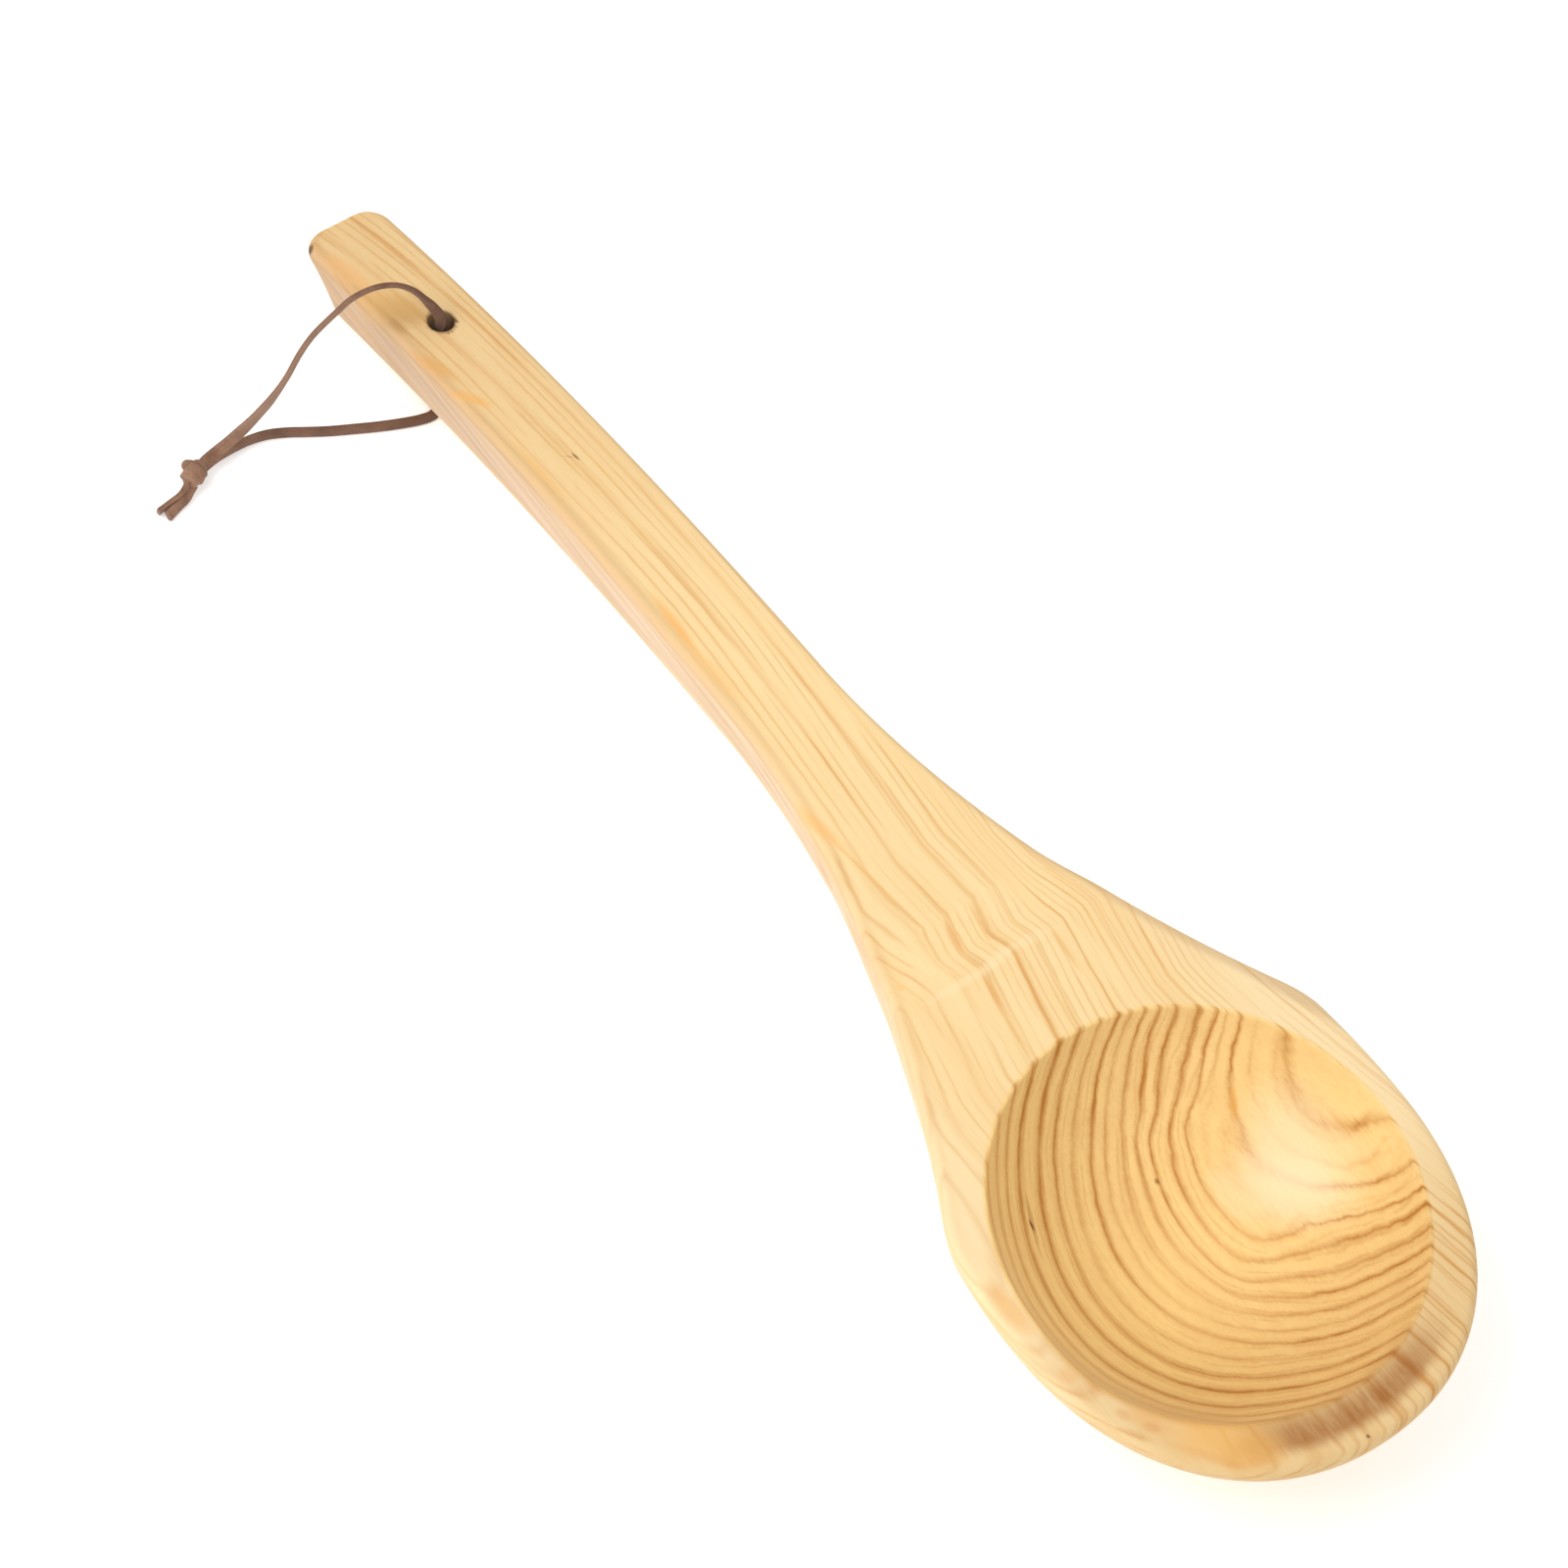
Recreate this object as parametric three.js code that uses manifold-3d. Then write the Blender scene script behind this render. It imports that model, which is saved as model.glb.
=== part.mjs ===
// A sauna ladle carved from one piece of pine, with a leather lace knotted through its handle.
// Millimetres, +Z up. The ladle lies on a table at z = 0, on the foot of its bowl and on the end
// of its handle. The origin is the middle of the foot, and +X runs along the handle to its end.
import * as THREE from 'three';
import { mergeVertices } from 'three/addons/utils/BufferGeometryUtils.js';
import Module from 'manifold-3d';

// The whole ladle
const overallLength = 400;
const rimHeight = 41;
const edgeRadius = 1.4;

// Bowl: a round hollow in an egg-shaped block that is widest across the front lip
const hollowDiameter = 104;
const hollowDepth = 30.5;
const hollowChamfer = 0.8;
const sideRim = 7.6;
const frontRim = 13.6;
const frontFullness = 2.15; // exponent of the front outline, 2 being an ellipse
const flankAngle = 60; // slope of the outer wall under the rim, in degrees
const flankLength = 27;
const floorReach = 32; // how far the rounded bottom runs on nearly level
const footSanding = 2; // taken off the rounded bottom to make the flat foot

// Shoulders, where the outline turns from the bowl into the flare
const shoulderX = 28.5;
const shoulderSkew = 3; // the hand-cut shoulder on the +Y side lies this much nearer the front
const shoulderFall = 2.6; // how much narrower a side is there than at the bowl's middle
const shoulderRounding = 2.4;

// Flare and neck
const flareEndX = 165;
const flarePower = 1.9;
const rampGap = 25; // level top face between the hollow and the ramp
const rampLength = 19;
const rampDrop = 2.1;
const heelX = 12; // where the underside starts to climb out of the bowl
const neckLength = 103;

// Handle: flat on top, round underneath at the neck and squarer towards its end
const handleNeckWidth = 27.2;
const handleEndWidth = 23;
const handleThickness = 16.9;
const archPower = 2.3;
const neckRoundness = 0.75; // exponent of the underside's rounding at the neck
const endRoundness = 0.34; // and at the end, where the section is nearly square
const endCornerRadius = 6;
const endEdgeRadius = 0.8;
const endChamferLength = 17.5; // the lower end edge is cut back this far, and the handle rests there
const endChamferSlope = 1;
const endChamferRise = 13.8;
const endHeelRoundness = 0.5; // of the section there
const endSanding = 0.3; // taken off the handle there, where it meets the table

// Lace hole, square to the handle's top face
const holeFromEnd = 41.2;
const holeDiameter = 6.5;

// Lace
const laceWidth = 3;
const laceThickness = 1.6;
const laceGap = 0.3; // left between two stretches that meet end to end
const laceCorner = 0.5; // worn off the lace's edges
const knotLength = 8.4;
const knotWidth = 5.2;
const knotHeight = 5;
const wrapRadius = 2.3; // of the two turns round the knot, with their strand, lean and twist
const wrapStrand = 1.05;
const wrapLean = 17;
const wrapTwist = 20;
const wrapOffset = 1.2; // from the knot's middle, to either side

// Facets
const frontSteps = 36;
const endSteps = 9;
const undersideSteps = 12;
const edgeSteps = 4;
const hollowSteps = 72;
const hollowRings = 14;
const holeSides = 24;
const cutDepth = 20; // how far a cutting block runs past the wood

const wasm = await Module();
wasm.setup();
const { clamp, degToRad, lerp, smoothstep } = THREE.MathUtils;

// Places worked out from the sizes above
const hollowRadius = hollowDiameter / 2;
const bowlHalfWidth = hollowRadius + sideRim;
const frontReach = hollowRadius + frontRim;
const endX = overallLength - frontReach;
const rampStartX = hollowRadius + rampGap;
const rampEndX = rampStartX + rampLength;
const neckEndX = heelX + neckLength;
const restX = endX - endChamferLength;
const restShare = ((restX - rampEndX) / (endX - rampEndX)) ** archPower;
const archDrop = (rimHeight - rampDrop - handleThickness + endSanding) / restShare;
const holeX = endX - holeFromEnd;
const flank = degToRad(flankAngle);

// Height of the top face along the ladle: level rim, short ramp, then the arch of the handle
function topHeight(x) {
  const ramp = rampDrop * smoothstep(x, rampStartX, rampEndX);
  const along = Math.max(0, (x - rampEndX) / (endX - rampEndX));
  return rimHeight - ramp - archDrop * along ** archPower;
}

// Height of the underside on the middle line, from the bowl's bottom up into the handle
function undersideHeight(x) {
  const climb = smoothstep(x, heelX, neckEndX);
  return lerp(-footSanding, topHeight(x) - handleThickness, climb);
}

// How far a quarter-round edge has drawn in at a place near the handle's end
function endRounding(x, radius) {
  const past = clamp(x - (endX - radius), 0, radius);
  return radius - Math.sqrt(radius ** 2 - past ** 2);
}

// The smaller of two widths, with the corner between them rounded
function roundedLesser(a, b, rounding) {
  const overlap = Math.max(0, rounding - Math.abs(a - b)) / rounding;
  return Math.min(a, b) - (overlap ** 2 * rounding) / 4;
}

// Half the ladle's width behind the middle of the bowl, on the +Y side (1) or the -Y side (-1)
function halfWidth(x, side) {
  const cornerX = shoulderX - side * shoulderSkew;
  const bowl = bowlHalfWidth - shoulderFall * Math.min(x / cornerX, 2) ** 2;
  const along = clamp((x - flareEndX) / (endX - flareEndX), 0, 1);
  const handle = lerp(handleNeckWidth, handleEndWidth, along) / 2;
  const flareRise = bowlHalfWidth - shoulderFall - handleNeckWidth / 2;
  const flare = flareRise * (Math.max(0, flareEndX - x) / (flareEndX - cornerX)) ** flarePower;
  const reach = roundedLesser(bowl, handle + flare, shoulderRounding);
  return reach - endRounding(x, endCornerRadius) - endRounding(x, endEdgeRadius);
}

// Distance from the bowl's axis to the front outline in one direction
function frontRadius(angle) {
  const along = Math.abs(Math.cos(angle)) / frontReach;
  const across = Math.abs(Math.sin(angle)) / bowlHalfWidth;
  return (along ** frontFullness + across ** frontFullness) ** (-1 / frontFullness);
}

// Half a cross-section, from the middle of the top face round the edge to the middle underneath.
// The underside blends from the bowl's sloping flank into the handle's rounded belly.
function halfSection({ width, top, bottom, blend, roundness }) {
  const points = [[0, top], [width - edgeRadius, top]];
  const turn = lerp(Math.PI - flank, Math.PI / 2, blend);
  for (let i = 1; i <= edgeSteps; i += 1) {
    const angle = Math.PI / 2 - (turn * i) / edgeSteps;
    const out = width - edgeRadius + edgeRadius * Math.cos(angle);
    points.push([out, top - edgeRadius + edgeRadius * Math.sin(angle)]);
  }
  const [edgeOut, edgeZ] = points[points.length - 1];
  const depth = edgeZ - bottom;
  const flankRun = Math.min(flankLength, depth);
  const bowl = new THREE.CubicBezierCurve(
    new THREE.Vector2(edgeOut, edgeZ),
    new THREE.Vector2(edgeOut - flankRun * Math.cos(flank), edgeZ - flankRun * Math.sin(flank)),
    new THREE.Vector2(Math.min(floorReach, edgeOut), bottom),
    new THREE.Vector2(0, bottom),
  );
  for (let i = 1; i <= undersideSteps; i += 1) {
    const u = i / undersideSteps;
    const belly = [
      edgeOut * Math.max(0, Math.cos((u * Math.PI) / 2)) ** roundness,
      edgeZ - depth * Math.sin((u * Math.PI) / 2) ** roundness,
    ];
    const wall = bowl.getPoint(u);
    const out = i < undersideSteps ? lerp(wall.x, belly[0], blend) : 0;
    points.push([out, lerp(wall.y, belly[1], blend)]);
  }
  return points;
}

// Cross-section of the neck or handle at one place along the ladle
function sideSection(x, side) {
  const heel = clamp((x - restX) * endChamferSlope, 0, endChamferRise);
  const along = clamp((x - neckEndX) / (endX - neckEndX), 0, 1);
  const belly = lerp(neckRoundness, endRoundness, Math.sqrt(along));
  return halfSection({
    width: halfWidth(x, side),
    top: topHeight(x) - endRounding(x, endEdgeRadius),
    bottom: undersideHeight(x) + heel,
    blend: smoothstep(x, 0, neckEndX),
    roundness: lerp(belly, endHeelRoundness, heel / endChamferRise),
  });
}

// Section of the bowl's front half in one direction from its axis
function frontSection(angle) {
  return halfSection({
    width: frontRadius(angle),
    top: rimHeight,
    bottom: -footSanding,
    blend: 0,
    roundness: neckRoundness,
  });
}

// Places of the cross-sections behind the bowl's middle, closer where the shape turns quickly
function sectionPlaces() {
  const spans = [
    [0, shoulderX - 8, 4],
    [shoulderX - 8, shoulderX + 10, 9],
    [shoulderX + 10, rampStartX, 7],
    [rampStartX, rampEndX, 7],
    [rampEndX, flareEndX, 9],
    [flareEndX, restX, 15],
  ];
  const places = [];
  for (const [from, to, steps] of spans) {
    for (let i = 1; i <= steps; i += 1) {
      places.push(lerp(from, to, i / steps));
    }
  }
  for (let i = 1; i <= endSteps; i += 1) {
    places.push(restX + endChamferLength * Math.sin((i * Math.PI) / 2 / endSteps));
  }
  return places;
}

// The carved blank as one skin: half-sections follow one another round the whole outline,
// marching along the handle on both sides and fanning round the bowl's axis at the front
function blankGeometry() {
  const rows = [];
  const places = sectionPlaces();
  for (const x of [...places].reverse()) {
    rows.push(sideSection(x, 1).map(([out, z]) => [x, out, z]));
  }
  for (let i = 0; i <= frontSteps; i += 1) {
    const angle = Math.PI / 2 + (Math.PI * i) / frontSteps;
    rows.push(frontSection(angle).map(([out, z]) => [out * Math.cos(angle), out * Math.sin(angle), z]));
  }
  for (const x of places) {
    rows.push(sideSection(x, -1).map(([out, z]) => [x, -out, z]));
  }
  const count = rows[0].length;
  const index = [];
  for (let i = 0; i < rows.length; i += 1) {
    const next = (i + 1) % rows.length;
    for (let j = 0; j < count - 1; j += 1) {
      const a = i * count + j;
      const d = next * count + j;
      index.push(a, a + 1, d + 1, a, d + 1, d);
    }
  }
  const geometry = new THREE.BufferGeometry();
  geometry.setAttribute('position', new THREE.Float32BufferAttribute(rows.flat(2), 3));
  geometry.setIndex(index);
  return geometry;
}

// The round hollow: a cap of a sphere with a small chamfer at the rim
function hollowGeometry() {
  const sphere = (hollowRadius ** 2 + hollowDepth ** 2) / (2 * hollowDepth);
  const sweep = Math.asin(hollowRadius / sphere);
  const profile = [];
  for (let i = 0; i <= hollowRings; i += 1) {
    const angle = (sweep * i) / hollowRings;
    const depth = hollowDepth - sphere * (1 - Math.cos(angle));
    profile.push(new THREE.Vector2(sphere * Math.sin(angle), rimHeight - depth));
  }
  profile[hollowRings].y -= hollowChamfer;
  profile[0].x = 0;
  profile.push(new THREE.Vector2(hollowRadius + hollowChamfer, rimHeight));
  profile.push(new THREE.Vector2(hollowRadius + hollowChamfer, rimHeight + cutDepth));
  profile.push(new THREE.Vector2(0, rimHeight + cutDepth));
  return new THREE.LatheGeometry(profile, hollowSteps).rotateX(Math.PI / 2);
}

// Tilt of the handle's top face at the hole, which the hole is drilled square to
const holeTilt = Math.atan(topHeight(holeX - 0.5) - topHeight(holeX + 0.5));

function holeGeometry() {
  const length = handleThickness + 2 * cutDepth;
  const drill = new THREE.CylinderGeometry(holeDiameter / 2, holeDiameter / 2, length, holeSides);
  drill.rotateX(Math.PI / 2).rotateY(holeTilt);
  return drill.translate(holeX, 0, topHeight(holeX));
}

// Everything under the table top, which sands the foot and the handle's end flat
function tableGeometry() {
  const table = new THREE.BoxGeometry(2 * overallLength, 2 * overallLength, cutDepth);
  return table.translate(0, 0, -cutDepth / 2);
}

function solidOf(geometry) {
  const bare = geometry.clone();
  bare.deleteAttribute('normal');
  bare.deleteAttribute('uv');
  const merged = mergeVertices(bare, 1e-3);
  const corners = merged.index.array;
  const triangles = [];
  for (let i = 0; i < corners.length; i += 3) {
    const [a, b, c] = [corners[i], corners[i + 1], corners[i + 2]];
    if (a !== b && b !== c && c !== a) {
      triangles.push(a, b, c);
    }
  }
  const mesh = new wasm.Mesh({
    numProp: 3,
    vertProperties: new Float32Array(merged.attributes.position.array),
    triVerts: new Uint32Array(triangles),
  });
  return new wasm.Manifold(mesh);
}

function geometryOf(solid) {
  const mesh = solid.getMesh();
  const geometry = new THREE.BufferGeometry();
  geometry.setAttribute('position', new THREE.BufferAttribute(mesh.vertProperties, 3));
  geometry.setIndex(new THREE.BufferAttribute(mesh.triVerts, 1));
  geometry.computeVertexNormals();
  return geometry;
}

function piece(name, geometry, color, roughness) {
  const material = new THREE.MeshStandardMaterial({ color, roughness, metalness: 0 });
  const mesh = new THREE.Mesh(geometry, material);
  mesh.name = name;
  return mesh;
}

function ladleBody() {
  const carved = [hollowGeometry(), holeGeometry(), tableGeometry()]
    .map(solidOf)
    .reduce((wood, cut) => wood.subtract(cut), solidOf(blankGeometry()));
  return piece('ladle_body', geometryOf(carved), 0xe3bd7c, 0.6);
}

// Route of the lace, from the hole's axis, with heights above the table. Both runs start in the
// middle of the hole, and both end at the knot.
const upperRun = [
  [-1.5, 1.25, 14.1],
  [0, 1.25, 21.6],
  [0.8, 1.5, 24.6],
  [2.5, 2.3, 26.9],
  [5, 3.8, 28.8],
  [7.4, 5.8, 30.6],
  [9.2, 8.6, 31.8],
  [10.8, 13.4, 32.4],
  [11.2, 20.5, 32.6],
  [10, 26.5, 32],
  [8.1, 34.4, 30.6],
  [6.5, 38.9, 28.4],
  [4.4, 43.6, 25],
  [3.6, 47.8, 20.6],
  [3.8, 52.1, 15.9],
  [4.3, 56.8, 11.2],
  [4.2, 60.9, 7.6],
  [4, 64, 5.5],
];
const lowerRun = [
  [-1.6, 1.25, 13.6],
  [-3.1, 1.25, 6.1],
  [-4.3, 1.3, 3.5],
  [-6.5, 1.7, 2],
  [-9, 2.9, 1.6],
  [-11, 5, 1.6],
  [-11.9, 7.5, 1.6],
  [-11.5, 10.6, 1.6],
  [-10.1, 15.1, 1.6],
  [-7.8, 21.1, 1.6],
  [-5.3, 26.8, 1.6],
  [-2.9, 32.1, 1.6],
  [-0.4, 36.9, 1.6],
  [2, 41.3, 1.6],
  [3.6, 46.1, 1.6],
  [4.5, 50.8, 1.6],
  [4.4, 55.4, 1.6],
  [4.1, 60.1, 1.9],
  [3.7, 63.9, 2.3],
];
const longTail = [
  [2, 72.3, 3.9],
  [1.3, 75.1, 3.1],
  [0.5, 78.3, 2.2],
  [-0.5, 81.6, 1.8],
];
const shortTail = [
  [-0.1, 71.9, 2.1],
  [-1.1, 74.5, 1.8],
  [-2.1, 77.1, 1.7],
  [-3.2, 79.8, 1.7],
];
const knotPlace = [3.3, 68.1, 3.5];
const knotTurn = 14;
const runSteps = 38;
const tailSteps = 5;

// The lace's flat eight-sided section
function laceSection(width, thickness) {
  const corner = laceCorner;
  const x = width / 2;
  const y = thickness / 2;
  const outline = [
    [x, -y + corner],
    [x, y - corner],
    [x - corner, y],
    [corner - x, y],
    [-x, y - corner],
    [-x, corner - y],
    [corner - x, -y],
    [x - corner, -y],
  ];
  return new THREE.Shape(outline.map(([px, py]) => new THREE.Vector2(px, py)));
}

function laceTube(points, steps, section) {
  const path = new THREE.CatmullRomCurve3(points.map((point) => new THREE.Vector3(...point)));
  return new THREE.ExtrudeGeometry(section, { steps, bevelEnabled: false, extrudePath: path });
}

// A short end of lace that runs from the knot's heart to just short of the stretch it continues
function knotEnd(points, section) {
  const heart = new THREE.Vector3(...knotPlace);
  const meeting = new THREE.Vector3(...points[0]);
  const ahead = new THREE.Vector3(...points[1]);
  const direction = meeting.clone().sub(ahead).normalize();
  const tip = meeting.addScaledVector(direction, laceGap);
  const root = tip.clone().addScaledVector(direction, laceThickness);
  const route = [tip, root, root.clone().lerp(heart, 0.7)];
  return laceTube(route.map((point) => point.toArray()), 4, section);
}

const flatSection = laceSection(laceWidth, laceThickness);
const edgeSection = laceSection(laceThickness, laceWidth);

// The overhand knot: the doubled lace drawn into a tight egg with two turns wrapped round it
function knotGeometry() {
  const core = new THREE.SphereGeometry(0.5, 20, 14).scale(knotWidth, knotLength, knotHeight);
  const wraps = [-1, 1].map((side) => {
    const turn = new THREE.TorusGeometry(wrapRadius, wrapStrand, 10, 24).rotateX(Math.PI / 2);
    turn.rotateX(side * degToRad(wrapLean)).rotateZ(side * degToRad(wrapTwist));
    return turn.translate(0, side * wrapOffset, 0);
  });
  const turned = degToRad(knotTurn);
  const placed = [core, ...wraps].map((shape) => shape.rotateZ(turned).translate(...knotPlace));
  const ends = [
    knotEnd([...upperRun].reverse(), flatSection),
    knotEnd([...lowerRun].reverse(), flatSection),
    knotEnd(longTail, edgeSection),
    knotEnd(shortTail, flatSection),
  ];
  return geometryOf([...placed, ...ends].map(solidOf).reduce((lump, part) => lump.add(part)));
}

function lace() {
  const group = new THREE.Group();
  const brown = 0x8a6650;
  group.add(piece('lace_upper_run', laceTube(upperRun, runSteps, flatSection), brown, 0.9));
  group.add(piece('lace_lower_run', laceTube(lowerRun, runSteps, flatSection), brown, 0.9));
  group.add(piece('lace_knot', knotGeometry(), brown, 0.9));
  group.add(piece('lace_tail_long', laceTube(longTail, tailSteps, edgeSection), brown, 0.9));
  group.add(piece('lace_tail_short', laceTube(shortTail, tailSteps, flatSection), brown, 0.9));
  group.position.x = holeX;
  return group;
}

const ladle = new THREE.Group();
ladle.add(ladleBody());
ladle.add(lace());

export default ladle;
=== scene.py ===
import math
import bmesh
import bpy
from mathutils import Matrix, Vector


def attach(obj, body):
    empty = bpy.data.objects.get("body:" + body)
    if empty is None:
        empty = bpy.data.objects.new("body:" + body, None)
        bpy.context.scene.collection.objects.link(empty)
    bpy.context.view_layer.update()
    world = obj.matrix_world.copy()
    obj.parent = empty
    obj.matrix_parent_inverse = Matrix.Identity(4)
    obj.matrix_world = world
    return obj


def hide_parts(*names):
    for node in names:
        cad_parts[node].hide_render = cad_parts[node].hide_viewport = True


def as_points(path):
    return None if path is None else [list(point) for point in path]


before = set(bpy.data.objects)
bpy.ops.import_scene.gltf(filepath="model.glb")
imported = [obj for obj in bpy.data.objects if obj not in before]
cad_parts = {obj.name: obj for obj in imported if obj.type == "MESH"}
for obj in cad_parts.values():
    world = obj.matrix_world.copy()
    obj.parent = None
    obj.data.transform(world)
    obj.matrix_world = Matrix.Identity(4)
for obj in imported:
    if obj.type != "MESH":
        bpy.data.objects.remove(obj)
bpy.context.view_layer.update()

mm = 0.001
tiny = 1e-9  # keeps divisions off zero


def clearSelection():
    if bpy.context.object and bpy.context.object.mode != "OBJECT":
        bpy.ops.object.mode_set(mode="OBJECT")
    bpy.ops.object.select_all(action="DESELECT")


def clamp(value, low, high):
    return max(low, min(high, value))


def lerp(a, b, share):
    return a + (b - a) * share


def smoothstep(value, start, end):
    share = clamp((value - start) / (end - start), 0, 1)
    return share * share * (3 - 2 * share)


# The camera as the photograph was taken: its place in metres, its own axes, its lens in millimetres
camera = {
    "place": (-0.281244, 0.661133, 1.261145),
    "right": (-0.59992, -0.77411, 0.20209),
    "down": (-0.745, 0.44843, -0.49386),
    "forward": (0.29168, -0.44684, -0.84573),
    "lens": 142.825,
    "sensor": 36,
}


def placeCamera():
    clearSelection()
    bpy.ops.object.camera_add()
    eye = bpy.context.object
    eye.name = "studioCamera"
    turn = Matrix((Vector(camera["right"]), -Vector(camera["down"]), -Vector(camera["forward"])))
    eye.matrix_world = Matrix.Translation(camera["place"]) @ turn.transposed().to_4x4()
    eye.data.lens = camera["lens"]
    eye.data.sensor_width = camera["sensor"]
    bpy.context.scene.camera = eye


placeCamera()
print("camera placed")

# The leather lace: places in millimetres from the hole's axis, heights over the table
lace = {
    "width": 3,
    "thickness": 1.25,
    "corner": 0.4,
    "cornerSteps": 3,
    "smoothAngle": 50,
    "holeX": 293.2,
    "spacing": 0.8,  # between two rings of the strip
    "fineSteps": 24,  # between two points of a run, before it is spaced evenly
    "topMouth": (0, 0, 21.6),
    "underMouth": (-3.3, 0, 5.1),
    "upperRun": [
        (-1.5, 1.1, 14.1), (-0.5, 0.3, 20.2), (-0.35, 0.25, 22), (0.3, 0.6, 24.2), (1.9, 1.7, 26.4),
        (4.3, 3.4, 28.7), (6.9, 5.6, 30.8), (9, 8.6, 32.1), (10.8, 13.4, 32.6), (11.2, 20.5, 32.6),
        (10, 26.5, 32), (8.1, 34.4, 30.6), (6.5, 38.9, 28.4), (4.4, 43.6, 24.6), (3.6, 47.8, 19.4),
        (3.8, 51.6, 14), (4.3, 54.8, 9.6), (4.5, 57.8, 6.9), (4.5, 61, 5.2), (4.1, 64.4, 4.2),
        (3.4, 66.8, 3.6),
    ],
    # degrees that the strip is rolled from lying flat to the camera, by share of the run
    "upperRoll": [
        (0, 10), (0.09, 20), (0.14, 52), (0.19, 78), (0.25, 89), (0.66, 86), (0.78, 66), (0.88, 40),
        (1, 25),
    ],
    "lowerRun": [
        (-1.6, 1.25, 13.6), (-3.1, 1.25, 6.1), (-4.3, 1.3, 3.5), (-6.5, 1.7, 2), (-9, 2.9, 1.6),
        (-11, 5, 1.6), (-11.9, 7.5, 1.6), (-11.5, 10.6, 1.6), (-10.1, 15.1, 1.6), (-7.8, 21.1, 1.6),
        (-5.3, 26.8, 1.6), (-2.9, 32.1, 1.6), (-0.4, 36.9, 1.6), (2, 41.3, 1.6), (3.9, 45.8, 1.6),
        (4.8, 50, 1.6), (5, 53.6, 1.7), (4.9, 57.4, 1.9), (4.6, 60.8, 2.2), (3.9, 64.2, 2.6),
        (3.2, 66.8, 3),
    ],
    "lowerRoll": [(0, 0), (0.14, 20), (0.26, 50), (0.7, 54), (0.85, 62), (1, 50)],
    "longTail": [(1.6, 71, 4), (0.4, 73.2, 3.4), (-0.2, 74.8, 3), (-0.5, 77.7, 2.4), (-0.8, 81.6, 1.6)],
    "longTailRoll": [(0, 70), (0.3, 84), (1, 84)],
    "shortTail": [(0.9, 70.4, 2.9), (-0.2, 72.4, 2.4), (-1, 73.8, 2), (-1.8, 76.6, 1.7), (-3, 80.2, 1.6)],
    "shortTailRoll": [(0, 40), (1, 50)],
}


def lacePlace(point):
    return Vector((lace["holeX"] + point[0], point[1], point[2])) * mm


# Even stations on a smooth line through the points
def smoothRoute(points, spacing):
    points = [Vector(point) for point in points]
    ends = [points[0] * 2 - points[1]] + points + [points[-1] * 2 - points[-2]]
    fine = []
    for i in range(1, len(ends) - 2):
        a, b, c, d = ends[i - 1:i + 3]
        t0 = 0
        t1 = t0 + max((b - a).length, tiny) ** 0.5
        t2 = t1 + max((c - b).length, tiny) ** 0.5
        t3 = t2 + max((d - c).length, tiny) ** 0.5
        for step in range(lace["fineSteps"]):
            t = lerp(t1, t2, step / lace["fineSteps"])
            ab = a * ((t1 - t) / (t1 - t0)) + b * ((t - t0) / (t1 - t0))
            bc = b * ((t2 - t) / (t2 - t1)) + c * ((t - t1) / (t2 - t1))
            cd = c * ((t3 - t) / (t3 - t2)) + d * ((t - t2) / (t3 - t2))
            abc = ab * ((t2 - t) / (t2 - t0)) + bc * ((t - t0) / (t2 - t0))
            bcd = bc * ((t3 - t) / (t3 - t1)) + cd * ((t - t1) / (t3 - t1))
            fine.append(abc * ((t2 - t) / (t2 - t1)) + bcd * ((t - t1) / (t2 - t1)))
    fine.append(points[-1])
    walked = [0]
    for a, b in zip(fine, fine[1:]):
        walked.append(walked[-1] + (b - a).length)
    count = max(2, round(walked[-1] / spacing))
    route, at = [], 0
    for i in range(count + 1):
        goal = walked[-1] * i / count
        while at < len(fine) - 2 and walked[at + 1] < goal:
            at += 1
        share = (goal - walked[at]) / max(walked[at + 1] - walked[at], tiny)
        route.append(fine[at].lerp(fine[at + 1], clamp(share, 0, 1)))
    return route


# The direction ahead at each station
def routeWays(route):
    last = len(route) - 1
    return [(route[min(i + 1, last)] - route[max(i - 1, 0)]).normalized() for i in range(last + 1)]


def routeLength(route):
    return sum((b - a).length for a, b in zip(route, route[1:]))


def alongTable(table, share):
    for (a, low), (b, high) in zip(table, table[1:]):
        if share <= b:
            return lerp(low, high, smoothstep(share, a, b))
    return table[-1][1]


# A strip is a plate with its corners rounded off, drawn out ring by ring along the route
def drawStrip(name, route, wideWays, width, thickness):
    clearSelection()
    bpy.ops.mesh.primitive_plane_add(size=1)
    strip = bpy.context.object
    strip.name = name
    bpy.ops.object.mode_set(mode="EDIT")
    bpy.ops.transform.resize(value=(width * mm, thickness * mm, 1))
    bpy.ops.mesh.bevel(offset=lace["corner"] * mm, segments=lace["cornerSteps"], affect="VERTICES")
    shell = bmesh.from_edit_mesh(strip.data)
    section = [vertex.co.copy() for vertex in shell.verts]
    for i, (place, way, wide) in enumerate(zip(route, routeWays(route), wideWays)):
        if i:
            bpy.ops.mesh.extrude_region_move()
            shell = bmesh.from_edit_mesh(strip.data)
        thin = way.cross(wide).normalized()
        wide = thin.cross(way).normalized()
        ring = [vertex for vertex in shell.verts if vertex.select]
        for vertex, spot in zip(ring, section):
            vertex.co = place + wide * spot.x + thin * spot.y
        bmesh.update_edit_mesh(strip.data)
    bpy.ops.mesh.select_all(action="SELECT")
    bpy.ops.mesh.normals_make_consistent(inside=False)
    bpy.ops.object.mode_set(mode="OBJECT")
    bpy.ops.object.shade_smooth_by_angle(angle=math.radians(lace["smoothAngle"]))
    return strip


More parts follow.
